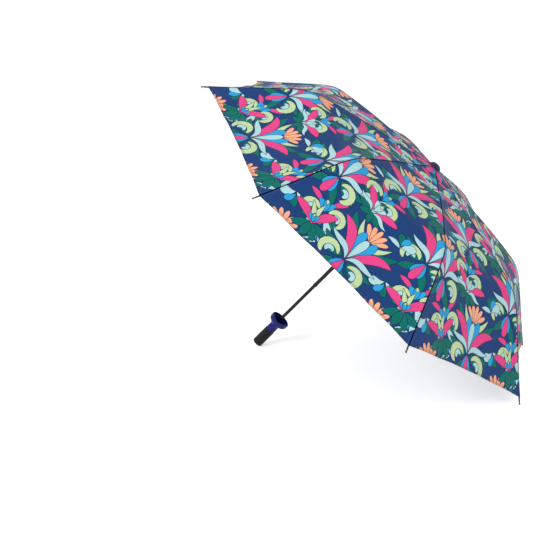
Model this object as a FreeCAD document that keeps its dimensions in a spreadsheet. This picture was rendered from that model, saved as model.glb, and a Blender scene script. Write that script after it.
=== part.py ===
import FreeCAD, Part

# Folding umbrella with eight three-section ribs, open and lying on its handle end and two rib tips.
# Each sub-part is a body in the shaft's own frame: Z runs up the shaft from the handle's end, and X
# points at the lowest gore. One tilt then lays the whole umbrella on the floor plane Z = 0.

import math
import os

import Sketcher
from FreeCAD import Placement, Rotation, Vector

SIZES = {
    # canopy and frame
    "rib_count": 8,
    "tip_radius": 480,
    "hem_radius": 471,
    "hem_sag": 8,
    "cloth_thickness": 0.35,
    "cloth_hole": 7,
    "cloth_seam_gap": 0.1,
    "cloth_over_inner": 2.2,
    "cloth_over_outer": 3.8,
    "inner_slope": 9.2,
    "outer_slope": 37.3,
    # ribs
    "top_length": 158,
    "middle_length": 148,
    "channel_half": 1.9,
    "channel_inside": 1.4,
    "channel_top": 0.2,
    "channel_bottom": 3.2,
    "channel_web": 0.5,
    "knuckle_radius": 1.7,
    "knuckle_gap": 2.2,
    "eye_radius": 1.6,
    "eye_half": 1.25,
    "crown_eye_half": 0.8,
    "rivet_radius": 0.7,
    "rivet_hole": 0.75,
    "fold_drop": 3.4,
    "rod_radius": 1.2,
    "rod_rise": 1.9,
    "tip_sleeve": 1.6,
    "tip_sleeve_length": 14,
    "tip_ball": 1.9,
    "stay_at": 80,
    "stay_drop": 2.6,
    "stay_half": 1.2,
    "stay_half_height": 0.9,
    "stay_wall": 0.4,
    "stay_rivet": 0.45,
    "stay_hole": 0.5,
    # crown, cap and runner
    "crown_height": 579,
    "crown_pivot": 9.6,
    "crown_radius": 11.6,
    "crown_under": 5.5,
    "crown_over": 1.5,
    "slot_half": 1.1,
    "ring_wire": 0.6,
    "cap_radius": 13.5,
    "cap_brim": 3.2,
    "cap_top": 11,
    "cap_stud": 4.5,
    "runner_depth": 58,
    "runner_bore": 5.05,
    "runner_neck": 5.85,
    "runner_flange": 9,
    "runner_slot_half": 1.4,
    "runner_collar": 8.6,
    "runner_collar_from": 29,
    "runner_collar_to": 41,
    "button_width": 4.8,
    "button_height": 6.8,
    "button_inner": 7.6,
    "button_outer": 9.9,
    "button_floor": 6.3,
    # telescopic shaft
    "lower_tube": 4,
    "lower_tube_bore": 3.5,
    "lower_from": 12,
    "lower_to": 238,
    "middle_tube": 4.5,
    "middle_tube_bore": 4.05,
    "middle_from": 203,
    "middle_to": 383,
    "upper_tube": 5,
    "upper_tube_bore": 4.55,
    "upper_from": 348,
    "collar_height": 5,
    "middle_collar": 5,
    "upper_collar": 5.6,
    # handle
    "grip_radius": 12,
    "grip_length": 48,
    "grip_rounding": 2.5,
    "neck_radius": 11.35,
    "neck_top": 63.5,
    "shoulder_turn": 16.8,
    "shoulder_turn_height": 71,
    "rim_radius": 23.3,
    "rim_base": 78.5,
    "rim_top": 85,
    "rim_bore": 21.3,
    "cup_floor": 67,
}

doc = FreeCAD.newDocument("folding_umbrella")
sheet = doc.addObject("Spreadsheet::Sheet", "Dims")
for row, (alias, size) in enumerate(SIZES.items(), start=1):
    sheet.set(f"A{row}", alias)
    sheet.set(f"B{row}", str(size))
    sheet.setAlias(f"B{row}", alias)
doc.recompute()


class Size:
    """A dimension in mm that carries the spreadsheet expression it is bound to."""

    def __init__(self, value, text):
        self.value = value
        self.text = text

    def joined(self, sign, other, value):
        text = other.text if isinstance(other, Size) else repr(other)
        return Size(value, f"({self.text} {sign} {text})")

    def __add__(self, other):
        return self.joined("+", other, self.value + plain(other))

    def __sub__(self, other):
        return self.joined("-", other, self.value - plain(other))

    def __mul__(self, other):
        return self.joined("*", other, self.value * plain(other))

    def __neg__(self):
        return Size(-self.value, f"(-1 * {self.text})")


def plain(size):
    return size.value if isinstance(size, Size) else size


def dim(alias):
    return Size(SIZES[alias], f"Dims.{alias}")


def bind(target, path, size):
    """Sets a property or constraint from the spreadsheet."""
    if isinstance(size, Size):
        target.setExpression(path, size.text)


# ---------------------------------------------------------------- sketches and features

def new_body(label):
    body = doc.addObject("PartDesign::Body", label)
    body.Label = label
    return body


def origin_part(body, role):
    return next(item for item in body.Origin.OriginFeatures if item.Role == role)


def new_sketch(body, role):
    sketch = body.newObject("Sketcher::SketchObject", "Sketch")
    sketch.AttachmentSupport = [(origin_part(body, role), "")]
    sketch.MapMode = "FlatFace"
    return sketch


def hold(sketch, kind, first, first_end, second, second_end, size):
    index = sketch.addConstraint(
        Sketcher.Constraint(kind, first, first_end, second, second_end, float(plain(size)))
    )
    bind(sketch, f"Constraints[{index}]", size)


def outline(sketch, corners, arcs=None):
    """Closed outline through the corners. arcs maps a corner's index to a point on the arc after it."""
    arcs = arcs or {}
    first = sketch.GeometryCount
    spots = [Vector(plain(x), plain(y), 0) for x, y in corners]
    for index, start in enumerate(spots):
        end = spots[(index + 1) % len(spots)]
        if index in arcs:
            through = Vector(plain(arcs[index][0]), plain(arcs[index][1]), 0)
            curve = Part.Arc(start, through, end)
            sketch.addGeometry(curve, False)
        else:
            sketch.addGeometry(Part.LineSegment(start, end), False)
    for index in range(len(spots)):
        edge, after = first + index, first + (index + 1) % len(spots)
        edge_end, after_start = 2, 1
        if index in arcs and turns_right(spots, index, arcs):
            edge_end = 1
        if after - first in arcs and turns_right(spots, after - first, arcs):
            after_start = 2
        sketch.addConstraint(Sketcher.Constraint("Coincident", edge, edge_end, after, after_start))
    for index, (x, y) in enumerate(corners):
        edge_start = 2 if index in arcs and turns_right(spots, index, arcs) else 1
        hold(sketch, "DistanceX", -1, 1, first + index, edge_start, x)
        hold(sketch, "DistanceY", -1, 1, first + index, edge_start, y)
    for index in arcs:
        radius = sketch.Geometry[first + index].Radius
        sketch.addConstraint(Sketcher.Constraint("Radius", first + index, radius))


def turns_right(spots, index, arcs):
    """True where the arc runs clockwise, because a sketch keeps its arcs counter-clockwise."""
    start, end = spots[index], spots[(index + 1) % len(spots)]
    through = Vector(plain(arcs[index][0]), plain(arcs[index][1]), 0)
    return (through - start).cross(end - through).z < 0


def circle(sketch, x, y, radius):
    index = sketch.addGeometry(
        Part.Circle(Vector(plain(x), plain(y), 0), Vector(0, 0, 1), plain(radius)), False
    )
    hold(sketch, "DistanceX", -1, 1, index, 3, x)
    hold(sketch, "DistanceY", -1, 1, index, 3, y)
    constraint = sketch.addConstraint(Sketcher.Constraint("Radius", index, float(plain(radius))))
    bind(sketch, f"Constraints[{constraint}]", radius)


def pad(body, sketch, half):
    """Material half to each side of the sketch."""
    feature = body.newObject("PartDesign::Pad", "Pad")
    feature.Profile = sketch
    feature.SideType = "Symmetric"
    feature.Length = 2 * plain(half)
    bind(feature, "Length", dim_double(half))
    return feature


def pocket(body, sketch, half):
    """Cut half to each side of the sketch."""
    feature = body.newObject("PartDesign::Pocket", "Pocket")
    feature.Profile = sketch
    feature.SideType = "Symmetric"
    feature.Length = 2 * plain(half)
    bind(feature, "Length", dim_double(half))
    return feature


def dim_double(size):
    return size * 2 if isinstance(size, Size) else size


def side_plate(body, corners, half, arcs=None):
    sketch = new_sketch(body, "XZ_Plane")
    outline(sketch, corners, arcs)
    return pad(body, sketch, half)


def side_disc(body, x, z, radius, half):
    sketch = new_sketch(body, "XZ_Plane")
    circle(sketch, x, z, radius)
    return pad(body, sketch, half)


def side_cut(body, corners, half):
    sketch = new_sketch(body, "XZ_Plane")
    outline(sketch, corners)
    return pocket(body, sketch, half)


def side_hole(body, x, z, radius, half):
    sketch = new_sketch(body, "XZ_Plane")
    circle(sketch, x, z, radius)
    return pocket(body, sketch, half)


def turned(body, corners, arcs=None):
    """Full turn about the body's Z axis of an outline of (radius, height) corners."""
    sketch = new_sketch(body, "XZ_Plane")
    outline(sketch, corners, arcs)
    feature = body.newObject("PartDesign::Revolution", "Revolution")
    feature.Profile = sketch
    feature.ReferenceAxis = (origin_part(body, "Z_Axis"), [""])
    feature.Angle = 360
    return feature


def ring_edges(feature, height, radius):
    """Names of the circular edges at a height and radius."""
    names = []
    for number, edge in enumerate(feature.Shape.Edges, start=1):
        curve = edge.Curve
        if not isinstance(curve, Part.Circle):
            continue
        if abs(curve.Center.z - height) < 1e-4 and abs(curve.Radius - radius) < 1e-4:
            names.append(f"Edge{number}")
    return names


def rounded(body, feature, names, radius):
    fillet = body.newObject("PartDesign::Fillet", "Fillet")
    fillet.Base = (feature, names)
    fillet.Radius = plain(radius)
    bind(fillet, "Radius", radius)
    return fillet


def around(body, feature):
    """Repeats a feature once for each rib about the shaft's axis."""
    pattern = body.newObject("PartDesign::PolarPattern", "PolarPattern")
    pattern.Originals = [feature]
    pattern.Axis = (origin_part(body, "Z_Axis"), [""])
    pattern.Angle = 360
    pattern.Occurrences = int(SIZES["rib_count"])
    bind(pattern, "Occurrences", dim("rib_count"))
    body.Tip = pattern
    return pattern


# ---------------------------------------------------------------- places

def cosine(degrees):
    return math.cos(math.radians(degrees))


def sine(degrees):
    return math.sin(math.radians(degrees))


PITCH = 360 / SIZES["rib_count"]
RIB_TURNS = [PITCH * (index + 0.5) for index in range(SIZES["rib_count"])]
GORE_TURNS = [PITCH * index for index in range(SIZES["rib_count"])]
BUTTON_TURN = -90
INNER = SIZES["inner_slope"]
OUTER = SIZES["outer_slope"]


def moved(start, along, rise, slope):
    """The (radius, height) reached from start along a line that falls outwards at the slope."""
    radius, height = start
    return (
        radius + along * cosine(slope) + rise * sine(slope),
        height - along * sine(slope) + rise * cosine(slope),
    )


CROWN = (SIZES["crown_pivot"], SIZES["crown_height"])
ELBOW = moved(CROWN, SIZES["top_length"], 0, INNER)
KNEE = moved(ELBOW, SIZES["middle_length"], -SIZES["fold_drop"], INNER)
OUTER_LENGTH = (SIZES["tip_radius"] - KNEE[0] - SIZES["rod_rise"] * sine(OUTER)) / cosine(OUTER)
TIP = moved(KNEE, OUTER_LENGTH, SIZES["rod_rise"], OUTER)
STAY_TOP = moved(CROWN, SIZES["stay_at"], -SIZES["stay_drop"], INNER)
RUNNER = (
    SIZES["crown_pivot"] - SIZES["stay_drop"],
    SIZES["crown_height"] - SIZES["runner_depth"],
)
STAY_LENGTH = math.hypot(STAY_TOP[0] - RUNNER[0], STAY_TOP[1] - RUNNER[1])
STAY_ANGLE = math.degrees(math.atan2(STAY_TOP[1] - RUNNER[1], STAY_TOP[0] - RUNNER[0]))


def derived(alias, value):
    """Adds a computed length to the spreadsheet, so that features can be bound to it."""
    row = len(SIZES) + 1
    SIZES[alias] = value
    sheet.set(f"A{row}", alias)
    sheet.set(f"B{row}", repr(value))
    sheet.setAlias(f"B{row}", alias)


derived("outer_length", OUTER_LENGTH)
derived("stay_length", STAY_LENGTH)
doc.recompute()


def lying_down():
    """The tilt that puts the handle's rounded end and the two lowest tips on the floor plane."""
    rounding = SIZES["grip_rounding"]
    heel = (SIZES["grip_radius"] - rounding, rounding)
    tip = (TIP[0] * cosine(PITCH / 2), TIP[1])
    run, rise = tip[0] - heel[0], tip[1] - heel[1]
    centres = math.degrees(math.atan2(run, rise))
    taper = math.degrees(math.asin((rounding - SIZES["tip_ball"]) / math.hypot(run, rise)))
    lean = centres - taper
    turn = Rotation(Vector(0, 1, 0), 90 - lean)
    heel_point = turn.multVec(Vector(heel[0], 0, heel[1]))
    rim_centre = turn.multVec(Vector(0, 0, TIP[1]))
    return Placement(Vector(-rim_centre.x, 0, rounding - heel_point.z), turn)


LAY = lying_down()


def on_shaft(height=0, turn=0):
    return LAY.multiply(Placement(Vector(0, 0, height), Rotation(Vector(0, 0, 1), turn)))


def on_rib(turn, spot, fall):
    """Place of a rib member whose X axis starts at spot and falls outwards by the angle."""
    radius, height = spot
    upright = Placement(Vector(0, 0, 0), Rotation(Vector(0, 0, 1), turn))
    member = Placement(Vector(radius, 0, height), Rotation(Vector(0, 1, 0), fall))
    return LAY.multiply(upright.multiply(member))


# ---------------------------------------------------------------- rib members

def channel(body, start, end):
    """Folded steel channel, open below, between two distances along the member."""
    side_plate(
        body,
        [
            (start, -dim("channel_bottom")),
            (end, -dim("channel_bottom")),
            (end, -dim("channel_top")),
            (start, -dim("channel_top")),
        ],
        dim("channel_half"),
    )


def channel_hollow(body, start, end):
    web = dim("channel_top") + dim("channel_web")
    side_cut(
        body,
        [
            (start, -dim("channel_bottom") - 1),
            (end, -dim("channel_bottom") - 1),
            (end, -web),
            (start, -web),
        ],
        dim("channel_inside"),
    )


def top_rib(number, turn):
    body = new_body(f"top_rib_{number}")
    length = dim("top_length")
    stop = length - dim("knuckle_gap")
    channel(body, 8, stop)
    side_plate(
        body,
        [
            (length - 5, -dim("channel_bottom")),
            (length, -dim("channel_bottom")),
            (length + 1.5, -0.8),
            (length, 0),
            (length - 1.2, -0.2),
            (length - 5, -dim("channel_top")),
        ],
        dim("channel_half"),
    )
    side_disc(body, length, 0, dim("knuckle_radius"), dim("channel_half"))
    channel_hollow(body, 7, length + 3)
    side_cut(
        body,
        [(stop, -4.5), (length + 3, -4.5), (length + 3, 3), (stop, 3)],
        dim("channel_inside"),
    )
    side_plate(
        body,
        [(0, -1.4), (6.2, -1.4), (8, -2.9), (10, -2.9), (10, -0.3), (8, 0.9), (0, 1.4)],
        dim("crown_eye_half"),
    )
    side_disc(body, 0, 0, dim("eye_radius"), dim("crown_eye_half"))
    side_hole(body, 0, 0, dim("rivet_hole"), dim("crown_eye_half") + 1)
    side_disc(body, length, 0, dim("rivet_radius"), dim("channel_half"))
    side_disc(body, dim("stay_at"), -dim("stay_drop"), dim("stay_rivet"), dim("channel_half"))
    body.Placement = on_rib(turn, CROWN, INNER)
    return body


def middle_rib(number, turn):
    body = new_body(f"middle_rib_{number}")
    length = dim("middle_length")
    drop = dim("fold_drop")
    stop = length - dim("knuckle_gap")
    channel(body, 4, stop)
    side_plate(
        body,
        [
            (length - 5, -dim("channel_bottom")),
            (length - 1, -drop - 1),
            (length + 1.4, -drop),
            (length, -drop + 1.4),
            (stop, -0.8),
            (length - 5, -dim("channel_top")),
        ],
        dim("channel_half"),
    )
    side_disc(body, length, -drop, dim("knuckle_radius"), dim("channel_half"))
    channel_hollow(body, 3, length + 3)
    side_cut(
        body,
        [(stop, -6.5), (length + 3, -6.5), (length + 3, 0.5), (stop, 0.5)],
        dim("channel_inside"),
    )
    side_plate(
        body,
        [(-0.6, -1), (0, -1.3), (2.4, -2.9), (6, -2.9), (6, -0.3), (2.4, -0.3), (1.2, 0.9), (0, 1.2)],
        dim("eye_half"),
    )
    side_disc(body, 0, 0, dim("eye_radius"), dim("eye_half"))
    side_hole(body, 0, 0, dim("rivet_hole"), dim("eye_half") + 1)
    side_disc(body, length, -drop, dim("rivet_radius"), dim("channel_half"))
    body.Placement = on_rib(turn, ELBOW, INNER)
    return body


def outer_rib(number, turn):
    body = new_body(f"outer_rib_{number}")
    rise = dim("rod_rise")
    sketch = new_sketch(body, "XZ_Plane")
    end = dim("outer_length") - 4
    outline(sketch, [(3, rise), (end, rise), (end, rise + dim("rod_radius")), (3, rise + dim("rod_radius"))])
    rod = body.newObject("PartDesign::Revolution", "Rod")
    rod.Profile = sketch
    rod.ReferenceAxis = (sketch, ["Edge1"])
    rod.Angle = 360
    side_plate(
        body,
        [(-1, 0.3), (0, -1.2), (1, -0.9), (3.4, 0.75), (8, 0.75), (8, 3.05), (3, 3.05), (0.2, 2.2)],
        dim("eye_half"),
    )
    side_disc(body, 0, 0, dim("eye_radius"), dim("eye_half"))
    side_hole(body, 0, 0, dim("rivet_hole"), dim("eye_half") + 1)
    body.Placement = on_rib(turn, KNEE, OUTER)
    return body


def rib_tip(number, turn):
    """Turned metal tip in its own frame along Z, its ball at the origin and its sleeve below."""
    body = new_body(f"rib_tip_{number}")
    ball, sleeve = dim("tip_ball"), dim("tip_sleeve")
    shoulder = math.sqrt(plain(ball) ** 2 - 1)
    turned(
        body,
        [
            (0, -4),
            (dim("rod_radius"), -4),
            (dim("rod_radius"), -dim("tip_sleeve_length")),
            (sleeve, -dim("tip_sleeve_length")),
            (sleeve, -4.5),
            (1, -shoulder - 1.2),
            (1, -shoulder),
            (0, ball),
        ],
        {6: (1.9 * cosine(10), 1.9 * sine(10))},
    )
    along = Placement(
        Vector(OUTER_LENGTH, 0, SIZES["rod_rise"]), Rotation(Vector(0, 1, 0), 90)
    )
    body.Placement = on_rib(turn, KNEE, OUTER).multiply(along)
    return body


def stay(number, turn):
    """Stretcher from the top rib (its origin) in to the runner: a channel with a drilled eye at each end."""
    body = new_body(f"stretcher_{number}")
    length, half = dim("stay_length"), dim("stay_half_height")
    side_plate(body, [(0, -half), (length, -half), (length, half), (0, half)], dim("stay_half"))
    for end in (0, length):
        side_disc(body, end, 0, half, dim("stay_half"))
    side_cut(
        body,
        [(3, -half - 1), (length - 3, -half - 1), (length - 3, half - dim("stay_wall")), (3, half - dim("stay_wall"))],
        dim("stay_half") - dim("stay_wall"),
    )
    for end in (0, length):
        side_hole(body, end, 0, dim("stay_hole"), dim("stay_half") + 1)
    body.Placement = on_rib(turn, STAY_TOP, 180 - STAY_ANGLE)
    return body


# ---------------------------------------------------------------- canopy

def inner_line(radius):
    lift = SIZES["cloth_over_inner"] / cosine(INNER)
    return CROWN[1] + lift - (radius - CROWN[0]) * math.tan(math.radians(INNER))


def outer_line(radius):
    lift = SIZES["cloth_over_outer"] / cosine(OUTER)
    return KNEE[1] + lift - (radius - KNEE[0]) * math.tan(math.radians(OUTER))


def bend_radius():
    """Where the flat inner cloth meets the drooping outer cloth, along a rib."""
    slopes = math.tan(math.radians(OUTER)) - math.tan(math.radians(INNER))
    return (outer_line(0) - inner_line(0)) / slopes


def gore(number, turn):
    """One cloth panel between two ribs: a flat inner part and a drooping outer part that meet at
    a crease, with the hem cut hollow."""
    body = new_body(f"canopy_gore_{number}")
    across, side = cosine(PITCH / 2), sine(PITCH / 2)
    hole, bend, hem = SIZES["cloth_hole"], bend_radius(), SIZES["hem_radius"]
    past = hem + 20
    under = [
        (hole * across - 1, inner_line(hole)),
        (bend * across, inner_line(bend)),
        (past * across, outer_line(past)),
    ]
    thick = dim("cloth_thickness")
    over = [(x, thick + z) for x, z in reversed(under)]
    side_plate(body, under + over, hem * side + 5)
    sketch = new_sketch(body, "XY_Plane")
    reach = hem * side + 30
    outline(sketch, [(-20, -reach), (past + 30, -reach), (past + 30, reach), (-20, reach)])
    gap = dim("cloth_seam_gap")
    outline(
        sketch,
        [
            (hole * across, gap - hole * side),
            (hem * across, gap - hem * side),
            (hem * across, -gap + hem * side),
            (hole * across, -gap + hole * side),
        ],
        {1: (hem * across - SIZES["hem_sag"], 0)},
    )
    pocket(body, sketch, 800)
    body.AllowCompound = True
    sketch = new_sketch(body, "XY_Plane")
    crease = gap * 0.5
    near, far = -crease + bend * across, crease + bend * across
    outline(sketch, [(near, -reach), (far, -reach), (far, reach), (near, reach)])
    pocket(body, sketch, 800)
    body.Placement = on_shaft(turn=turn)
    return body


# ---------------------------------------------------------------- crown, cap and runner

def crown():
    body = new_body("crown")
    radius = dim("crown_radius")
    under, over = -dim("crown_under"), dim("crown_over")
    turned(body, [(dim("upper_tube"), under), (radius - 2, under), (radius, under + 2), (radius, over), (dim("upper_tube"), over)])
    sketch = new_sketch(body, "XY_Plane")
    floor = dim("crown_pivot") - dim("eye_radius") - 0.4
    half = dim("slot_half")
    outline(sketch, [(floor, -half), (radius + 2, -half), (radius + 2, half), (floor, half)])
    around(body, pocket(body, sketch, 12))
    sketch = new_sketch(body, "XZ_Plane")
    circle(sketch, dim("crown_pivot"), 0, dim("ring_wire") + 0.05)
    seat = body.newObject("PartDesign::Groove", "Groove")
    seat.Profile = sketch
    seat.ReferenceAxis = (origin_part(body, "Z_Axis"), [""])
    seat.Angle = 360
    body.Tip = seat
    body.Placement = on_shaft(SIZES["crown_height"], PITCH / 2)
    return body


def crown_ring():
    """Wire ring through the eyes of the top ribs."""
    ring = doc.addObject("Part::Torus", "crown_ring")
    ring.Label = "crown_ring"
    bind(ring, "Radius1", dim("crown_pivot"))
    bind(ring, "Radius2", dim("ring_wire"))
    ring.Placement = on_shaft(SIZES["crown_height"])
    return ring


def cap():
    body = new_body("crown_cap")
    radius, brim, top = dim("cap_radius"), dim("cap_brim"), dim("cap_top")
    turned(
        body,
        [
            (0, -5),
            (dim("cap_stud"), -5),
            (dim("cap_stud"), brim),
            (radius, brim),
            (radius, brim + 1.2),
            (2, top),
            (0, top),
        ],
        {4: (8.63, 9.23)},
    )
    body.Placement = on_shaft(SIZES["crown_height"])
    return body


def runner():
    """Sliding runner: slotted flange, slim neck and a thumb collar with a pocket for the button."""
    body = new_body("runner")
    bore, neck, flange = dim("runner_bore"), dim("runner_neck"), dim("runner_flange")
    collar = dim("runner_collar")
    top, bottom = -dim("runner_collar_from"), -dim("runner_collar_to")
    turned(
        body,
        [
            (bore, bottom),
            (collar - 0.8, bottom),
            (collar, bottom + 0.8),
            (collar, top - 0.8),
            (collar - 0.8, top),
            (neck, top),
            (neck, -2.5),
            (flange, -2.5),
            (flange, 2.5),
            (bore, 2.5),
        ],
    )
    sketch = new_sketch(body, "XY_Plane")
    sketch.AttachmentOffset = Placement(Vector(0, 0, 0), Rotation(Vector(0, 0, 1), PITCH / 2))
    half = dim("runner_slot_half")
    outline(sketch, [(neck, -half), (flange + 2, -half), (flange + 2, half), (neck, half)])
    around(body, pocket(body, sketch, 2.7))
    sketch = new_sketch(body, "XZ_Plane")
    recess_half = 3.5
    middle = (top + bottom) * 0.5
    floor = dim("button_floor")
    outline(
        sketch,
        [(floor, middle - recess_half), (flange + 3, middle - recess_half), (flange + 3, middle + recess_half), (floor, middle + recess_half)],
    )
    recess = pocket(body, sketch, dim("button_width") * 0.5 + 0.1)
    body.Tip = recess
    body.Placement = on_shaft(RUNNER[1], BUTTON_TURN)
    return body


def runner_button():
    """Push button in the runner's collar, along X with its face outwards."""
    body = new_body("runner_button")
    half = dim("button_height") * 0.5
    inner, outer = dim("button_inner"), dim("button_outer")
    face = side_plate(
        body,
        [
            (inner, -half),
            (outer - 1, -half),
            (outer, -half + 1),
            (outer, half - 1),
            (outer - 1, half),
            (inner, half),
        ],
        dim("button_width") * 0.5,
    )
    body.Tip = face
    middle = -0.5 * (SIZES["runner_collar_from"] + SIZES["runner_collar_to"])
    body.Placement = on_shaft(RUNNER[1] + middle, BUTTON_TURN)
    return body


# ---------------------------------------------------------------- shaft and handle

def tube(label, radius, bore, low, high):
    body = new_body(label)
    turned(body, [(bore, low), (radius, low), (radius, high), (bore, high)])
    body.Placement = on_shaft()
    return body


def grip():
    body = new_body("grip")
    radius, length = dim("grip_radius"), dim("grip_length")
    hole, seat = dim("lower_tube"), dim("lower_from")
    solid = turned(body, [(0, 0), (radius, 0), (radius, length), (hole, length), (hole, seat), (0, seat)])
    doc.recompute()
    end = rounded(body, solid, ring_edges(solid, 0, plain(radius)), dim("grip_rounding"))
    doc.recompute()
    rounded(body, end, ring_edges(end, plain(length), plain(radius)), 0.6)
    body.Placement = on_shaft()
    return body


def cup():
    """Bottle-neck collar: neck, flared shoulder and rim, hollow towards the canopy."""
    body = new_body("bottle_neck_cup")
    neck, rim = dim("neck_radius"), dim("rim_radius")
    turned(
        body,
        [
            (dim("lower_tube"), dim("grip_length")),
            (neck, dim("grip_length")),
            (neck, dim("neck_top")),
            (dim("shoulder_turn"), dim("shoulder_turn_height")),
            (rim, dim("rim_base")),
            (rim, dim("rim_top") - 0.6),
            (rim - 0.6, dim("rim_top")),
            (dim("rim_bore"), dim("rim_top")),
            (dim("rim_bore"), dim("rim_base") + 0.5),
            (17.5, 75.2),
            (9.5, 70),
            (8, dim("cup_floor")),
            (dim("lower_tube"), dim("cup_floor")),
        ],
        {2: (12.7, 68.3), 3: (21.8, 74.2)},
    )
    body.Placement = on_shaft()
    return body


# ---------------------------------------------------------------- assembly

def build_all():
    parts = [grip(), cup()]
    parts.append(tube("lower_tube", dim("lower_tube"), dim("lower_tube_bore"), dim("lower_from"), dim("lower_to")))
    parts.append(tube("middle_tube", dim("middle_tube"), dim("middle_tube_bore"), dim("middle_from"), dim("middle_to")))
    crown_top = dim("crown_height") + dim("crown_over")
    parts.append(tube("upper_tube", dim("upper_tube"), dim("upper_tube_bore"), dim("upper_from"), crown_top))
    for name in ("middle", "upper"):
        start = dim(f"{name}_from")
        parts.append(
            tube(f"{name}_tube_collar", dim(f"{name}_collar"), dim(f"{name}_tube"), start, start + dim("collar_height"))
        )
    parts += [crown(), crown_ring(), cap(), runner(), runner_button()]
    for number, turn in enumerate(RIB_TURNS, start=1):
        parts += [top_rib(number, turn), middle_rib(number, turn), outer_rib(number, turn)]
        parts += [rib_tip(number, turn), stay(number, turn)]
    for number, turn in enumerate(GORE_TURNS, start=1):
        parts.append(gore(number, turn))
    return parts


def check_document():
    for item in doc.Objects:
        if "Invalid" in item.State or "Error" in item.State:
            raise RuntimeError(f"{item.Label} did not compute: {item.State}")


def write_parts(parts):
    os.makedirs("parts", exist_ok=True)
    for part in parts:
        shape = part.Shape
        if shape.isNull() or not shape.isValid() or not shape.Solids:
            raise RuntimeError(f"{part.Label} has no valid solid")
        shape.exportStep(f"parts/{part.Label}.step")


parts = build_all()
doc.recompute()
check_document()
write_parts(parts)
print(f"{len(parts)} sub-parts written")
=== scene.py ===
import math

import bpy
import numpy as np
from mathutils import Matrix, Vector, geometry

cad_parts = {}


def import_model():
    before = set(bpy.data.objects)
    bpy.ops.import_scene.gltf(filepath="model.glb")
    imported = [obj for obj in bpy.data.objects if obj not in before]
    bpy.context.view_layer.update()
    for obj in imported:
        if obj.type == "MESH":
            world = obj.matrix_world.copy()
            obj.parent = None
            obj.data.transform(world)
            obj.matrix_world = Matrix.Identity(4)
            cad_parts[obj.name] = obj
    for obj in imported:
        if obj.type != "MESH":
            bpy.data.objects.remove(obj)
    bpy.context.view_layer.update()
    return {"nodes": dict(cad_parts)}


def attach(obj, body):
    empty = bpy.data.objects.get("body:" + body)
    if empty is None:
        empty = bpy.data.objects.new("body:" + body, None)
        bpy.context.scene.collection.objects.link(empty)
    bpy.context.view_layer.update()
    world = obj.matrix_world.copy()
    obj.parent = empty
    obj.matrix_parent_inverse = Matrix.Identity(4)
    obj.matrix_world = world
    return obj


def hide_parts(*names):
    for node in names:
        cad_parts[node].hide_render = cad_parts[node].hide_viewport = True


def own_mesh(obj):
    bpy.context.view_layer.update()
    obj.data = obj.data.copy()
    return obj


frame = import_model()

# Lengths on the canopy are in millimetres in the shaft's own frame: Z up the shaft from the handle
# end, azimuth 0 toward the lowest canopy panel. world() turns that frame into the row frame.
LEAN = math.radians(42.58016136176832)
SHIFT = (-270.95736810328555, 7.087071502833379)
PANELS = 8
HALF = math.radians(22.5)

CROWN = (9.6, 579.0)  # (radius, height) of the top ribs' pivots
KNEE = (311.12, 526.72)  # of the last fold
ELBOW_RADIUS = 165.57
TIP_RADIUS = 471.0  # where a panel's corner ends
INNER, OUTER = math.tan(math.radians(9.2)), math.tan(math.radians(37.3))
OVER_INNER, OVER_OUTER = 2.2 / math.cos(math.radians(9.2)), 3.8 / math.cos(math.radians(37.3))
BEND_RADIUS = 309.6
HEM_SAG = 5.5  # how far the hem is cut hollow
CLOTH = 0.4  # thickness
ROUNDING = 6.0  # how softly the two slopes meet at the bend


def world(points):
    """Points of the shaft frame in mm, in the row frame in metres."""
    x, y, z = points[..., 0], points[..., 1], points[..., 2]
    c, s = math.cos(LEAN), math.sin(LEAN)
    return np.stack([x * c + z * s + SHIFT[0], y, z * c - x * s + SHIFT[1]], -1) / 1000


def turned(direction):
    """A direction of the shaft frame, in the row frame."""
    x, y, z = direction
    c, s = math.cos(LEAN), math.sin(LEAN)
    return (x * c + z * s, y, z * c - x * s)


def smooth(low, high, value):
    """0 up to low, 1 from high on, with a soft step between."""
    t = np.clip((value - low) / (high - low), 0, 1)
    return t * t * (3 - 2 * t)


# ---------------------------------------------------------------- the canopy's surface

def ridge(radius):
    """Height of the cloth over a rib."""
    a = CROWN[1] + OVER_INNER - (radius - CROWN[0]) * INNER
    b = KNEE[1] + OVER_OUTER - (radius - KNEE[0]) * OUTER
    lift = ROUNDING * smooth(12, 210, radius) * (1 - smooth(BEND_RADIUS + 10, TIP_RADIUS - 4, radius))
    return (a + b) / 2 - np.sqrt((a - b) ** 2 / 4 + ROUNDING**2) + lift


RADII = np.linspace(5, TIP_RADIUS + 10, 1200)  # along a rib
OUT = RADII * math.cos(HALF)  # the same lines where they cross the middle of a panel
DOWN = ridge(RADII)
ALONG = np.concatenate([[0], np.cumsum(np.hypot(np.diff(OUT), np.diff(DOWN)))]) + OUT[0]
SLOPE = np.arctan2(-np.gradient(DOWN, OUT), 1)


def from_axis(v):
    """How far out a point lies that is v down the panel's cloth from the crown."""
    return np.interp(v, ALONG, OUT)


def down_cloth(out):
    """The v of a point that lies so far out, the inverse of from_axis."""
    return np.interp(out, OUT, ALONG)


def hem(x):
    """v of the hem, at x across the panel."""
    corner = TIP_RADIUS * math.cos(HALF)
    return down_cloth(corner - HEM_SAG * (1 - np.clip(x / (TIP_RADIUS * math.sin(HALF)), -1, 1) ** 2))


def half_width(v):
    """Half the panel's width at v."""
    return from_axis(v) * math.tan(HALF)


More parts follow.
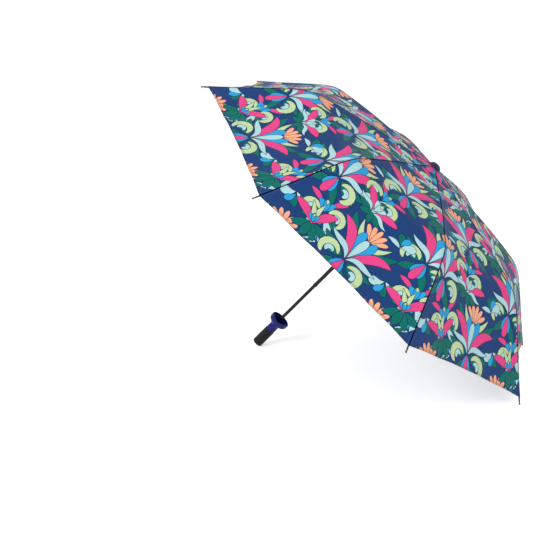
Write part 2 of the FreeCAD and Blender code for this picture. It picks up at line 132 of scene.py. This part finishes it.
def cloth(x, v, depth=0.0):
    """The cloth's points in its panel's frame, from flat places x across and v down the panel.
    Between the ribs it draws in a little, and it puckers beside the seams and at the hem."""
    out = from_axis(v)
    slope = np.interp(out, OUT, SLOPE)
    share = np.clip(x / half_width(v), -1, 1)
    seam = (1 - np.abs(share)) * half_width(v)
    sag = 3.5 * smooth(20, 170, v) + 6.5 * smooth(150, 330, v) - 3.5 * smooth(400, 470, v)
    near_seam = np.exp(-((seam - 5) / 5) ** 2) * smooth(0, 3, seam)
    pucker = 0.35 * np.sin(v / 2.6 + 1.3 * np.sin(v / 17)) * near_seam
    folds = 0.9 * np.sin(share * 13 + v / 60) * smooth(330, 470, v) * smooth(0, 30, seam)
    folds += 0.7 * np.sin(share * 7 - v / 34) * smooth(60, 200, v) * smooth(0, 25, seam)
    depth = depth + sag * (1 - share**2) + pucker + folds
    return np.stack([out - np.sin(slope) * depth, x, np.interp(out, OUT, DOWN) - np.cos(slope) * depth], -1)


def normals(x, v):
    """Outward unit normals of the cloth."""
    e = 0.6
    along = cloth(x, v + e) - cloth(x, v - e)
    inside = np.where(np.abs(x) + e > half_width(v), -np.sign(x) * e, 0)
    across = cloth(x + inside + e, v) - cloth(x + inside - e, v)
    n = np.cross(along, across)
    n /= np.linalg.norm(n, axis=-1, keepdims=True)
    return np.where(n[..., 2:] < 0, -n, n)


def panel_to_shaft(points, panel):
    """Points or directions of a panel's own frame in the shaft frame."""
    turn = math.radians(45 * (panel - 1))
    c, s = math.cos(turn), math.sin(turn)
    x, y = points[..., 0], points[..., 1]
    return np.stack([x * c - y * s, x * s + y * c, points[..., 2]], -1)


# ---------------------------------------------------------------- the print

def linear(r, g, b):
    """A screen colour in linear light."""
    return tuple((c / 255 / 12.92 if c <= 10 else ((c / 255 + 0.055) / 1.055) ** 2.4) for c in (r, g, b))


INKS = {
    "ground": linear(20, 52, 100),
    "line": linear(6, 18, 52),
    "pink": linear(196, 58, 116),
    "mint": linear(148, 184, 188),
    "sky": linear(36, 136, 186),
    "lime": linear(164, 184, 140),
    "coral": linear(212, 148, 118),
    "green": linear(3, 92, 84),
}
# How a shape narrows toward its start and its end: above 0.7 it is pointed, below it is round.
LEAF, FLAME, DROP, FINGER = (1.1, 0.8), (1.0, 1.15), (1.2, 0.5), (0.9, 0.45)
ARC = (0.55, 0.5)


def band(line, width, ends):
    """The outline of a shape that follows a line: pointed or round at its start and end."""
    p, q = ends
    t = (1 - np.cos(np.linspace(0, math.pi, len(line)))) / 2
    peak = p / (p + q)
    half = width / 2 * (np.maximum(t, 1e-9) / peak) ** p * (np.maximum(1 - t, 1e-9) / (1 - peak)) ** q
    way = np.gradient(line, axis=0)
    way /= np.linalg.norm(way, axis=1, keepdims=True)
    side = np.stack([-way[:, 1], way[:, 0]], 1) * half[:, None]
    return np.concatenate([line + side, (line - side)[-2:0:-1]])


def blade(start, end, width, ends=LEAF, bend=0.0, wave=0.0, steps=13):
    """A leaf, drop or petal from start to end. bend bows it and wave makes it an S."""
    start, end = np.array(start, float), np.array(end, float)
    t = ((1 - np.cos(np.linspace(0, math.pi, steps))) / 2)[:, None]
    axis = end - start
    side = np.array([-axis[1], axis[0]])
    line = start + axis * t + side * (4 * bend * t * (1 - t) + wave * np.sin(2 * math.pi * t))
    return band(line, width, ends)


def arch(centre, radius, width, begin, end, ends=ARC, steps=17):
    """A crescent about a centre, between two angles in degrees."""
    t = (1 - np.cos(np.linspace(0, math.pi, steps))) / 2
    a = np.radians(begin + (end - begin) * t)
    line = np.array(centre, float) + radius * np.stack([np.cos(a), np.sin(a)], 1)
    return band(line, width, ends)


def both(ink, outline):
    """A shape and its mirror image."""
    return [(ink, outline), (ink, outline * np.array([-1, 1]))]


def leaves(base, tips, width):
    """Green leaves on both sides, from one stalk."""
    return [shape for tip in tips for shape in both("green", blade(base, tip, width, (0.8, 0.9), 0.05))]


def burst():
    """The large flower about (0, 0): a fan over tall drops, pink leaves, curls and a bud below."""
    shapes = leaves((8, 0), [(62, -8), (58, 16)], 16)
    shapes += leaves((10, -34), [(58, -82)], 17)
    shapes += leaves((8, 16), [(34, 48)], 15)
    for angle in (-48, 48, -24, 24, 0):
        turn = math.radians(angle)
        shapes.append(("coral", blade((0, -62), (36 * math.sin(turn), -62 - 36 * math.cos(turn)), 9, FINGER)))
    shapes += both("lime", blade((3, -18), (38, -86), 12, FLAME, -0.07, -0.05))
    shapes += both("sky", blade((1, -4), (14, -70), 16, DROP, 0.05))
    shapes += [("mint", blade((0, -4), (0, -62), 15, DROP))]
    shapes += both("pink", blade((1, -2), (63, -60), 19, LEAF, -0.12, 0.03))
    shapes += both("mint", blade((2, 0), (58, -22), 12, FLAME, -0.12, -0.06))
    shapes += both("lime", arch((30, 14), 17, 13, 205, 430))
    shapes += both("mint", arch((29, 15), 6.5, 9, 205, 420))
    shapes += both("sky", blade((1, 3), (9, 36), 9, DROP, -0.08))
    return shapes + [("pink", blade((0, 3), (0, 48), 15, DROP))]


def tulip(ink, size):
    """Three petals and a lime stamen."""
    petals = both(ink, blade((0, 0), (14 * size, -18 * size), 10 * size, LEAF, -0.12))
    petals.append((ink, blade((0, 0), (0, -23 * size), 10 * size, LEAF)))
    return petals + [("lime", blade((0, -14 * size), (0, -21 * size), 5 * size, FINGER))]


def small_flower():
    """A blue tulip between two curls, over mint drops."""
    shapes = leaves((4, 4), [(50, -6), (38, 22)], 16)
    shapes += both("lime", arch((24, 4), 15, 12, 200, 425))
    shapes += both("mint", arch((24, 4), 6, 8, 200, 415))
    shapes += both("mint", blade((2, 8), (20, 40), 14, DROP, -0.1))
    shapes += both("pink", blade((8, -12), (38, -34), 10, LEAF, -0.1))
    return shapes + [("sky", blade((0, 6), (0, 26), 10, DROP))] + tulip("sky", 1.2)


def bud():
    """A mint tulip between pink leaves."""
    shapes = leaves((2, 4), [(34, 10), (16, 24)], 13)
    shapes += both("pink", blade((4, 3), (48, -24), 15, LEAF, -0.10))
    return shapes + both("mint", blade((4, 5), (44, 0), 8, FLAME, -0.08, -0.08)) + tulip("mint", 1.1)


def sprig():
    """Two pink leaves with lime ones between."""
    shapes = leaves((2, 2), [(36, 16), (14, 34)], 16)
    shapes += both("pink", blade((1, 2), (42, -30), 16, LEAF, -0.10))
    return shapes + both("lime", blade((1, 0), (12, -42), 9, FLAME, -0.06)) + tulip("sky", 0.8)


def drops():
    """Two drops beside each other on a leaf."""
    return [
        ("green", blade((4, 6), (30, 20), 15, LEAF, 0.1)),
        ("mint", blade((4, 4), (-14, 26), 17, DROP, -0.16)),
        ("sky", blade((8, 6), (6, 30), 12, DROP, -0.14)),
        ("mint", blade((6, 2), (34, -6), 9, FLAME, 0.1)),
    ]


ACROSS, REPEAT, FIRST = 110, 222, 4  # the half-drop repeat's column spacing, length and first flower


def tilted(shapes, degrees, x, v):
    """The shapes turned and moved to their place."""
    c, s = math.cos(math.radians(degrees)), math.sin(math.radians(degrees))
    turn = np.array([[c, s], [-s, c]])
    return [(ink, outline @ turn + np.array([x, v])) for ink, outline in shapes]


def layout():
    """The flowers of one panel, tilted this way and that."""
    shapes = []
    for column in (-1, 1, 0):
        for row in range(3):
            x, v = ACROSS * column, FIRST + REPEAT * (row + abs(column) / 2)
            way = -1 if (row + column) % 2 else 1
            shapes += tilted(drops(), 20 * way, x - 36, v + 82)
            shapes += tilted(drops(), 200 * way, x + 60, v - 92)
            shapes += tilted(small_flower(), -20 * way, x + 26 * way, v + 74)
            shapes += tilted(burst(), 9 * way, x, v)
            shapes += tilted(sprig() if column else bud(), 20 * way, x - 24 * way, v - 116)
    return shapes


def grown(outline, by):
    """The outline moved outward."""
    way = np.roll(outline, -1, 0) - np.roll(outline, 1, 0)
    way /= np.maximum(np.linalg.norm(way, axis=1, keepdims=True), 1e-9)
    return outline + np.stack([way[:, 1], -way[:, 0]], 1) * by


def ccw(outline):
    """The outline, turned so that it runs one way round."""
    x, y = outline[:, 0], outline[:, 1]
    return outline if (x * np.roll(y, -1) - np.roll(x, -1) * y).sum() > 0 else outline[::-1]


def printed():
    """Every shape of one panel's print, back to front, as (ink, outline)."""
    shapes = []
    for ink, outline in layout():
        outline = ccw(outline)
        beyond = np.abs(outline[:, 0]) - half_width(outline[:, 1])
        if beyond.min() < 0 and outline[:, 1].min() < 500:
            shapes += [("line", grown(outline, 0.9)), (ink, outline)]
    return shapes


# ---------------------------------------------------------------- one panel, cut flat

ZONES = ("top", "middle", "outer")
START, ELBOW, BEND = 7.0, ELBOW_RADIUS * math.cos(HALF), BEND_RADIUS * math.cos(HALF)
CUTS = [float(down_cloth(r)) for r in (START, ELBOW, BEND)]
HEM_BAND = 5.0
SEAM_SHADE = 0.5  # width of the painted shade beside a seam, a dark strip along it


def region(side, zone, steps=40):
    """The flat outline of a half panel's zone."""
    top = CUTS[zone]
    if zone < 2:
        v = np.linspace(top, CUTS[zone + 1], steps)
        edge = np.stack([side * half_width(v), v], 1)
        low = np.array([[0, v[-1]]])
    else:
        corner = float(hem(TIP_RADIUS * math.sin(HALF)))
        v = np.linspace(top, corner, steps)
        edge = np.stack([side * half_width(v), v], 1)
        x = np.linspace(edge[-1, 0], 0, steps)[1:]
        low = np.stack([x, hem(x)], 1)
    return ccw(np.concatenate([[[0, top]], edge, low]))


def within(places, outline):
    """Which places lie inside an outline, by its winding number."""
    a, b = outline, np.roll(outline, -1, 0)
    x, y = places[:, 0, None], places[:, 1, None]
    left = (b[:, 0] - a[:, 0]) * (y - a[:, 1]) - (x - a[:, 0]) * (b[:, 1] - a[:, 1])
    rises = (a[:, 1] <= y) & (b[:, 1] > y) & (left > 0)
    falls = (a[:, 1] > y) & (b[:, 1] <= y) & (left < 0)
    return rises.sum(1) != falls.sum(1)


def marked(places, outline):
    """The indices of the places inside an outline."""
    low, high = outline.min(0), outline.max(0)
    near = np.nonzero(((places >= low) & (places <= high)).all(1))[0]
    return near[within(places[near], outline)] if len(near) else near


def ribbons():
    """The outlines of the hem's fold and of the painted shade beside the two seams, dark strips along them.
    """
    reach = TIP_RADIUS * math.sin(HALF)
    x = np.linspace(-reach, reach, 90)
    made = [np.concatenate([np.stack([x, hem(x) - HEM_BAND], 1), np.stack([x, hem(x) + 6], 1)[::-1]])]
    v = np.linspace(CUTS[0] + 1, 486, 90)
    for side in (-1, 1):
        edge = side * half_width(v)
        inner, outer = np.stack([edge - side * SEAM_SHADE, v], 1), np.stack([edge + side * 4, v], 1)
        made.append(np.concatenate([inner, outer[::-1]]))
    return made


def cut_panel():
    """One panel as flat triangles: (points, triangles, ink and hem mark of each, side and zone of each)."""
    regions = {(side, zone): region(side, zone) for side in (-1, 1) for zone in range(3)}
    shapes, hem_and_seam_shade = printed(), ribbons()
    outlines = [*regions.values(), *(o for _, o in shapes), *hem_and_seam_shade]
    edges, first = [], 0
    for outline in outlines:
        n = len(outline)
        edges += [(first + i, first + (i + 1) % n) for i in range(n)]
        first += n
    grid = []
    for row, v in enumerate(np.arange(10, 484, 6.5)):
        wide = float(half_width(v)) - 3
        across = np.arange(-180 + (row % 2) * 3.5, 180, 7.0)
        grid += [(x, v) for x in across if abs(x) < wide and v < hem(x) - 3]
    points = np.concatenate([*outlines, np.array(grid)])
    out = geometry.delaunay_2d_cdt([Vector(p) for p in points.tolist()], edges, [], 0, 1e-4, False)
    flat, triangles = np.array([tuple(p) for p in out[0]]), np.array([f for f in out[2] if len(f) == 3])
    middles = flat[triangles].mean(1)
    place = np.full(len(middles), -1)
    keys = list(regions)
    for i, key in enumerate(keys):
        place[marked(middles, regions[key])] = i
    ink = np.full(len(middles), "ground", dtype=object)
    for name, outline in shapes:
        ink[marked(middles, outline)] = name
    # Painted shade: the strips beside the seams take the dark line ink, for the shadow along each seam.
    for outline in hem_and_seam_shade[1:]:
        ink[marked(middles, outline)] = "line"
    in_hem = np.zeros(len(middles), bool)
    in_hem[marked(middles, hem_and_seam_shade[0])] = True
    keep = np.nonzero(place >= 0)[0]
    return flat, triangles[keep], [(ink[i], bool(in_hem[i])) for i in keep], [keys[place[i]] for i in keep]


def shell(flat, triangles, kinds, panel):
    """A thin closed sheet over some of the flat triangles: points, faces, face-corner normals,
    colours and the three kinds of flat coordinates."""
    used, index = np.unique(triangles, return_inverse=True)
    index = index.reshape(-1, 3)
    x, v = flat[used, 0], flat[used, 1]
    up = panel_to_shaft(normals(x, v), panel)
    thick = CLOTH + 0.5 * smooth(HEM_BAND + 0.6, HEM_BAND - 0.4, hem(x) - v)
    over, under = panel_to_shaft(cloth(x, v), panel), panel_to_shaft(cloth(x, v, thick), panel)
    a, b, c = (flat[used][index[:, i]] for i in range(3))
    turn = (b[:, 0] - a[:, 0]) * (c[:, 1] - a[:, 1]) - (b[:, 1] - a[:, 1]) * (c[:, 0] - a[:, 0])
    index = np.where(turn[:, None] > 0, index[:, ::-1], index)  # so that faces look outward
    edges = np.concatenate([index[:, [0, 1]], index[:, [1, 2]], index[:, [2, 0]]])
    back = {(q, p) for p, q in edges.tolist()}
    rim = [(p, q) for p, q in edges.tolist() if (p, q) not in back]
    n = len(used)
    faces = index.tolist() + (index[:, ::-1] + n).tolist() + [[q, p, p + n, q + n] for p, q in rim]
    colours, corner_normals = [], []
    for tri, (ink, in_hem) in zip(index.tolist(), kinds):
        shade = np.array(INKS[ink]) * (0.82 if in_hem else 1.0)
        colours += [shade] * 3
        corner_normals += [up[i] for i in tri]
    for tri, (ink, in_hem) in zip(index[:, ::-1].tolist(), kinds):
        shade = np.array(INKS[ink]) * 0.30 + np.array(INKS["ground"]) * 0.55
        colours += [shade * (0.8 if in_hem else 1.0)] * 3
        corner_normals += [-up[i] for i in tri]
    for p, q in rim:
        edge = np.cross(over[q] - over[p], up[p])
        edge /= max(np.linalg.norm(edge), 1e-9)
        colours += [np.array(INKS["line"])] * 4
        corner_normals += [edge] * 4
    flats = np.stack([x, v], 1)
    seams = np.stack([(half_width(v) - np.abs(x)) * math.cos(HALF), v], 1)
    hems = np.stack([hem(x) - v, x], 1)
    uvs = [np.concatenate([u, u]) / 1000 for u in (flats, seams, hems)]
    return np.concatenate([over, under]), faces, corner_normals, colours, uvs


def tape(rib, low, high):
    """The sewn seam that stands over a rib, between two distances down the cloth, drawn dark as painted
    shade.
    """
    v = np.linspace(low, high, max(6, int((high - low) / 5)))
    out = from_axis(v)
    slope = np.interp(out, OUT, SLOPE) * math.cos(HALF)
    height = np.interp(out, OUT, DOWN)
    turn = HALF + math.radians(45 * (rib - 1))
    way, side = np.array([math.cos(turn), math.sin(turn), 0]), np.array([-math.sin(turn), math.cos(turn), 0])
    line = way * (out / math.cos(HALF))[:, None] + np.array([0, 0, 1]) * height[:, None]
    up = way * np.sin(slope)[:, None] + np.array([0, 0, 1]) * np.cos(slope)[:, None]
    section = [(-1.1, -0.75), (-1.0, 0.0), (-0.4, 0.35), (0.4, 0.35), (1.0, 0.0), (1.1, -0.75)]
    rows = np.stack([line + side * a + up * b for a, b in section], 1)
    k, n = len(section), len(v)
    points = rows.reshape(-1, 3)
    faces = [
        [i * k + j, i * k + (j + 1) % k, (i + 1) * k + (j + 1) % k, (i + 1) * k + j]
        for i in range(n - 1)
        for j in range(k)
    ]
    faces += [list(range(k))[::-1], [(n - 1) * k + j for j in range(k)]]
    lean = np.array([-0.9, -0.6, -0.2, 0.2, 0.6, 0.9])
    soft = up[:, None, :] + side * lean[None, :, None]
    soft = (soft / np.linalg.norm(soft, axis=2, keepdims=True)).reshape(-1, 3)
    corner_normals = [soft[i] for f in faces for i in f]
    # Painted shade: the tape takes half the ground colour, for the shadow along the seam over the rib.
    colours = [np.array(INKS["ground"]) * 0.5] * sum(len(f) for f in faces)
    flats = np.stack([np.repeat(0 * v, k) + np.tile(np.arange(k), n), np.repeat(v, k)], 1)
    far = np.full((n * k, 2), 60.0)
    return points, faces, corner_normals, colours, [flats / 1000, far / 1000, far / 1000]


def joined(name, parts, material):
    """One mesh of several closed sheets."""
    points, faces, corner_normals, colours, uvs = [], [], [], [], [[], [], []]
    for p, f, n, c, u in parts:
        first = sum(len(q) for q in points)
        points.append(p)
        faces += [[i + first for i in face] for face in f]
        corner_normals += n
        colours += c
        for whole, some in zip(uvs, u):
            whole.append(some)
    mesh = bpy.data.meshes.new(name)
    mesh.from_pydata(world(np.concatenate(points)).tolist(), [], faces)
    corners = np.zeros(len(mesh.loops), np.int32)
    mesh.loops.foreach_get("vertex_index", corners)
    for label, u in zip(("weave", "seam", "hem"), uvs):
        layer = mesh.uv_layers.new(name=label)
        layer.data.foreach_set("uv", np.concatenate(u)[corners].astype(np.float32).ravel())
    ink = mesh.color_attributes.new("print", "FLOAT_COLOR", "CORNER")
    rgba = np.c_[np.array(colours), np.ones(len(colours))]
    ink.data.foreach_set("color", rgba.astype(np.float32).ravel())
    mesh.polygons.foreach_set("use_smooth", [True] * len(mesh.polygons))
    n = np.array(corner_normals)
    mesh.normals_split_custom_set(np.array([turned(a) for a in n]).tolist())
    mesh.materials.append(material)
    ob = bpy.data.objects.new(name, mesh)
    bpy.context.scene.collection.objects.link(ob)
    return ob


# ---------------------------------------------------------------- materials

class Nodes:
    """A short way to write a material's nodes."""

    def __init__(self, name):
        self.material = bpy.data.materials.new(name)
        self.material.use_nodes = True
        self.tree = self.material.node_tree
        self.shader = self.tree.nodes["Principled BSDF"]

    def add(self, kind, settings=None, **inputs):
        node = self.tree.nodes.new("ShaderNode" + kind)
        for key, value in (settings or {}).items():
            setattr(node, key, value)
        for key, value in inputs.items():
            self.plug(node, key.replace("_", " "), value)
        return node

    def plug(self, node, key, value):
        socket = node.inputs[int(key[1:])] if key[0] == "i" and key[1:].isdigit() else node.inputs[key]
        if isinstance(value, bpy.types.NodeSocket):
            self.tree.links.new(value, socket)
        else:
            socket.default_value = value

    def math(self, operation, a, b=0.0, c=0.0):
        return self.add("Math", {"operation": operation}, i0=a, i1=b, i2=c).outputs[0]

    def mix(self, share, a, b):
        node = self.add("Mix", {"data_type": "RGBA"})
        for i, value in ((0, share), (6, a), (7, b)):
            if isinstance(value, bpy.types.NodeSocket):
                self.tree.links.new(value, node.inputs[i])
            else:
                node.inputs[i].default_value = value
        return node.outputs[2]

    def set(self, **inputs):
        for key, value in inputs.items():
            self.plug(self.shader, key.replace("_", " "), value)
        return self.material


def canopy_fabric():
    """Printed polyester: fine plain weave, stitched seams and hem, faint creases."""
    m = Nodes("canopy_fabric")
    ink = m.add("VertexColor", {"layer_name": "print"}).outputs[0]
    weave = m.add("UVMap", {"uv_map": "weave"}).outputs[0]
    seam = m.add("SeparateXYZ", Vector=m.add("UVMap", {"uv_map": "seam"}).outputs[0]).outputs
    hems = m.add("SeparateXYZ", Vector=m.add("UVMap", {"uv_map": "hem"}).outputs[0]).outputs

    def stitches(away, along, low, high):
        inside = m.math("MULTIPLY", m.math("GREATER_THAN", away, low), m.math("LESS_THAN", away, high))
        dash = m.math("LESS_THAN", m.math("FRACT", m.math("MULTIPLY", along, 330.0)), 0.62)
        return m.math("MULTIPLY", inside, dash)

    thread = m.math(
        "MAXIMUM",
        stitches(seam[0], seam[1], 0.0034, 0.0040),
        stitches(hems[0], hems[1], 0.0036, 0.0042),
    )
    warp = m.add("TexWave", {"bands_direction": "X"}, Vector=weave, Scale=380.0, Distortion=0.4)
    weft = m.add("TexWave", {"bands_direction": "Y"}, Vector=weave, Scale=380.0, Distortion=0.4)
    cloud = m.add("TexNoise", Vector=weave, Scale=55.0, Detail=3.0, Roughness=0.6)
    grain = m.math("ADD", m.math("MULTIPLY", warp.outputs[1], 0.5), m.math("MULTIPLY", weft.outputs[1], 0.5))
    shade = m.math("ADD", m.math("MULTIPLY", grain, 0.10), m.math("MULTIPLY", cloud.outputs[0], 0.10))
    shade = m.math("ADD", shade, 0.90)
    tinted = m.add("VectorMath", {"operation": "SCALE"}, i0=ink, Scale=shade).outputs[0]
    colour = m.mix(thread, tinted, (0.055, 0.075, 0.22, 1))
    height = m.math("ADD", m.math("MULTIPLY", grain, 0.35), m.math("MULTIPLY", thread, 1.5))
    height = m.math("ADD", height, m.math("MULTIPLY", cloud.outputs[0], 0.8))
    bump = m.add("Bump", Height=height, Strength=0.35, Distance=0.0002)
    rough = m.add("MapRange", Value=cloud.outputs[0], From_Min=0.3, From_Max=0.7, To_Min=0.46, To_Max=0.58)
    return m.set(
        Base_Color=colour,
        Roughness=rough.outputs[0],
        Normal=bump.outputs[0],
        Sheen_Weight=0.01,
        Sheen_Roughness=0.4,
        Specular_IOR_Level=0.08,
    )


def solid(name, colour, roughness, metallic=0.0, scale=300.0, depth=0.00005, spread=0.08,
          stretch=(1, 1, 1), shine=0.5):
    """A hard material with fine wear in its colour, gloss and relief."""
    m = Nodes(name)
    place = m.add("TexCoord").outputs["Object"]
    place = m.add("VectorMath", {"operation": "MULTIPLY"}, i0=place, i1=stretch).outputs[0]
    fine = m.add("TexNoise", Vector=place, Scale=scale, Detail=4.0, Roughness=0.65).outputs[0]
    broad = m.add("TexNoise", Vector=place, Scale=scale / 9, Detail=2.0).outputs[0]
    shade = m.add("MapRange", Value=broad, From_Min=0.3, From_Max=0.7, To_Min=0.88, To_Max=1.14).outputs[0]
    tinted = m.add("VectorMath", {"operation": "SCALE"}, i0=(*colour,), Scale=shade).outputs[0]
    low, high = roughness - spread, roughness + spread
    rough = m.add("MapRange", Value=fine, From_Min=0.3, From_Max=0.7, To_Min=low, To_Max=high)
    bump = m.add("Bump", Height=fine, Strength=0.5, Distance=depth)
    return m.set(
        Base_Color=tinted,
        Roughness=rough.outputs[0],
        Metallic=metallic,
        Normal=bump.outputs[0],
        Specular_IOR_Level=shine,
    )


def finishes():
    """The hard materials, by name."""
    along = (1, 1, 0.06)
    return {
        "grip_rubber": solid("grip_rubber", linear(7, 7, 9), 0.46, 0, 1400, 0.00012, shine=0.2),
        "navy_plastic": solid("navy_plastic", linear(8, 16, 92), 0.24, 0, 160, 0.00004, 0.05, shine=0.22),
        "black_tube": solid("black_tube", linear(9, 9, 11), 0.30, 0.1, 900, 0.00003, shine=0.3),
        "collar_metal": solid("collar_metal", linear(45, 46, 50), 0.28, 0.9, 700, 0.00002),
        "black_plastic": solid("black_plastic", linear(15, 15, 17), 0.40, 0, 500, 0.00006, shine=0.35),
        "cap_plastic": solid("cap_plastic", linear(12, 18, 52), 0.30, 0, 300, 0.00005, shine=0.3),
        "button_plastic": solid("button_plastic", linear(52, 52, 56), 0.42, 0, 600, 0.00006),
        "steel_wire": solid("steel_wire", linear(170, 170, 172), 0.30, 1.0, 1500, 0.00002),
        "rib_steel": solid("rib_steel", linear(120, 122, 126), 0.34, 1.0, 900, 0.00003, stretch=along),
        "rib_rod": solid("rib_rod", linear(92, 93, 96), 0.45, 0.2, 900, 0.00004, stretch=along),
        "tip_metal": solid("tip_metal", linear(62, 58, 54), 0.34, 0.6, 700, 0.00003),
    }


NODE_FINISH = {
    "grip": "grip_rubber",
    "bottle_neck_cup": "navy_plastic",
    "lower_tube": "black_tube",
    "middle_tube": "black_tube",
    "upper_tube": "black_tube",
    "middle_tube_collar": "collar_metal",
    "upper_tube_collar": "collar_metal",
    "crown": "black_plastic",
    "crown_cap": "cap_plastic",
    "crown_ring": "steel_wire",
    "runner": "black_plastic",
    "runner_button": "button_plastic",
    "top_rib": "rib_steel",
    "middle_rib": "rib_steel",
    "outer_rib": "rib_rod",
    "rib_tip": "tip_metal",
    "stretcher": "rib_steel",
}


def finish_frame(materials):
    """Gives each CAD node its material."""
    for name, node in frame["nodes"].items():
        kind = name.rsplit("_", 1)[0] if name[-1].isdigit() else name
        if kind in NODE_FINISH:
            node.data.materials.clear()
            node.data.materials.append(materials[NODE_FINISH[kind]])


# ---------------------------------------------------------------- the canopy

BODIES = ("top_rib", "middle_rib", "outer_rib")
TAPES = (CUTS[0] + 2, CUTS[1], CUTS[2], float(hem(TIP_RADIUS * math.sin(HALF))) - 0.5)


def hang_canopy(material):
    """Three cloth pieces over each rib, each the two half panels beside it, riding on that part
    of the rib."""
    flat, triangles, kinds, places = cut_panel()
    for rib in range(1, PANELS + 1):
        sides = ((1, rib), (-1, rib % PANELS + 1))
        for zone, label in enumerate(ZONES):
            parts, area = [], 0.0
            for side, panel in sides:
                pick = [i for i, p in enumerate(places) if p == (side, zone)]
                parts.append(shell(flat, triangles[pick], [kinds[i] for i in pick], panel))
                area += flat_area(flat, triangles[pick])
            parts.append(tape(rib, TAPES[zone], TAPES[zone + 1]))
            ob = joined(f"canopy_{label}_{rib}", parts, material)
            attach(ob, f"{BODIES[zone]}_{rib}")
            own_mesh(ob)
            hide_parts(*[f"canopy_gore_{panel}" for _, panel in sides])
            ends = (CUTS[1], CUTS[2], TAPES[3])
            size = (2 * float(half_width(ends[zone])) / 1000, (ends[zone] - CUTS[zone]) / 1000)
            area = min(area, size[0] * size[1])


def flat_area(flat, triangles):
    """Area of flat triangles, from mm to square metres."""
    a, b, c = (flat[triangles[:, i]] for i in range(3))
    turn = (b[:, 0] - a[:, 0]) * (c[:, 1] - a[:, 1]) - (b[:, 1] - a[:, 1]) * (c[:, 0] - a[:, 0])
    return float(np.abs(turn).sum() / 2) / 1e6


# ---------------------------------------------------------------- room

def floor():
    """A pale studio floor with a faint glow, so that it renders white."""
    mesh = bpy.data.meshes.new("floor")
    mesh.from_pydata([(-9, -9, 0), (9, -9, 0), (9, 14, 0), (-9, 14, 0)], [], [(0, 1, 2, 3)])
    ob = bpy.data.objects.new("floor", mesh)
    m = Nodes("floor")
    pale = m.set(
        Base_Color=(0.8, 0.8, 0.8, 1),
        Roughness=0.9,
        Specular_IOR_Level=0.1,
        Emission_Color=(1, 1, 1, 1),
        Emission_Strength=0.42,
    )
    mesh.materials.append(pale)
    bpy.context.scene.collection.objects.link(ob)


def lamp(name, place, target, size, power):
    data = bpy.data.lights.new(name, "AREA")
    data.shape, data.size, data.energy = "DISK", size, power
    ob = bpy.data.objects.new(name, data)
    ob.location = place
    ob.rotation_euler = (Vector(target) - Vector(place)).to_track_quat("-Z", "Y").to_euler()
    bpy.context.scene.collection.objects.link(ob)


def light_room():
    """Even white surroundings, a key light from the front left and a weak fill."""
    sky = bpy.data.worlds.new("studio")
    sky.use_nodes = True
    sky.node_tree.nodes["Background"].inputs[0].default_value = (1, 1, 1, 1)
    sky.node_tree.nodes["Background"].inputs[1].default_value = 1.0
    bpy.context.scene.world = sky
    bpy.context.scene.view_settings.view_transform = "Standard"
    lamp("key", (-1.3, -3.0, 1.9), (0, 0, 0.3), 1.6, 80)
    lamp("fill", (2.6, -1.2, 1.6), (0, 0, 0.3), 2.0, 8)


VIEW_PIXELS, FOCAL_PIXELS = 533, 851.4
YAW, PITCH = 17.118, -13.945  # degrees


def place_camera():
    data = bpy.data.cameras.new("camera")
    data.sensor_width, data.lens = 36, FOCAL_PIXELS / VIEW_PIXELS * 36
    data.clip_end = 60
    ob = bpy.data.objects.new("camera", data)
    ob.location = (0.3102, -1.8112, 0.6636)
    ob.rotation_euler = (math.radians(90 + PITCH), 0, math.radians(YAW))
    bpy.context.scene.collection.objects.link(ob)
    bpy.context.scene.camera = ob


finish_frame(finishes())
hang_canopy(canopy_fabric())
floor()
light_room()
place_camera()
bpy.context.view_layer.update()
